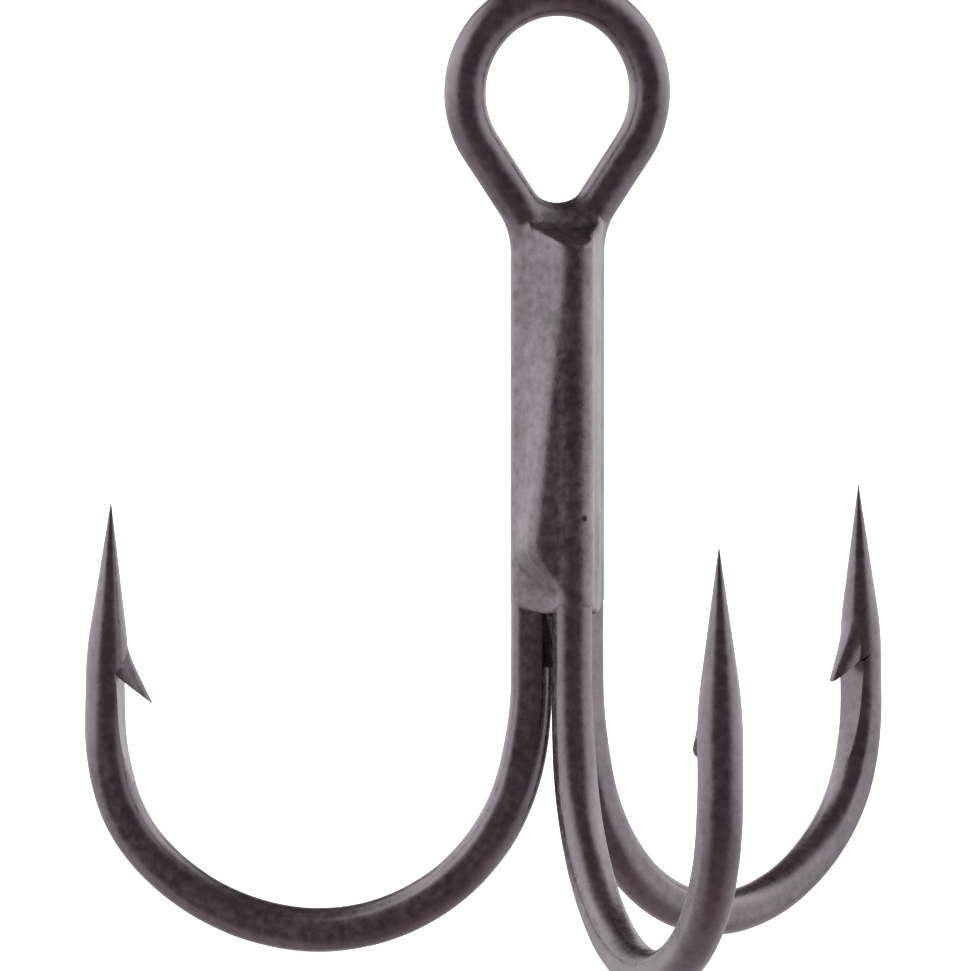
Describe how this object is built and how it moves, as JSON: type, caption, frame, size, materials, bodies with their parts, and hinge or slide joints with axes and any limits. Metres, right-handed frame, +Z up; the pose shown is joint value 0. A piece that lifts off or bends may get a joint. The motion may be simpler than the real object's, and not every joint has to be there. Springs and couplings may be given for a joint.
{
  "type": "treble hook",
  "caption": "Barbed treble fishing hook with a round wire eye, a brazed shank and forged bends with needle points.",
  "frame": {"origin": "centre of the round part of the wire eye", "axes": "+Z up the shank towards the eye, +Y along the eye's opening, away from the brazed single hook, so that the eye's ring lies in the XZ plane and the single hook points along -Y"},
  "size_m": [0.035, 0.0305, 0.04],
  "materials": {
    "plated_wire": "satin black nickel",
    "plated_braze": "satin black nickel"
  },
  "bodies": {
    "root": {"double_hook_wire": "plated_wire", "single_hook_wire": "plated_wire", "braze": "plated_braze"}
  },
  "joints": []
}
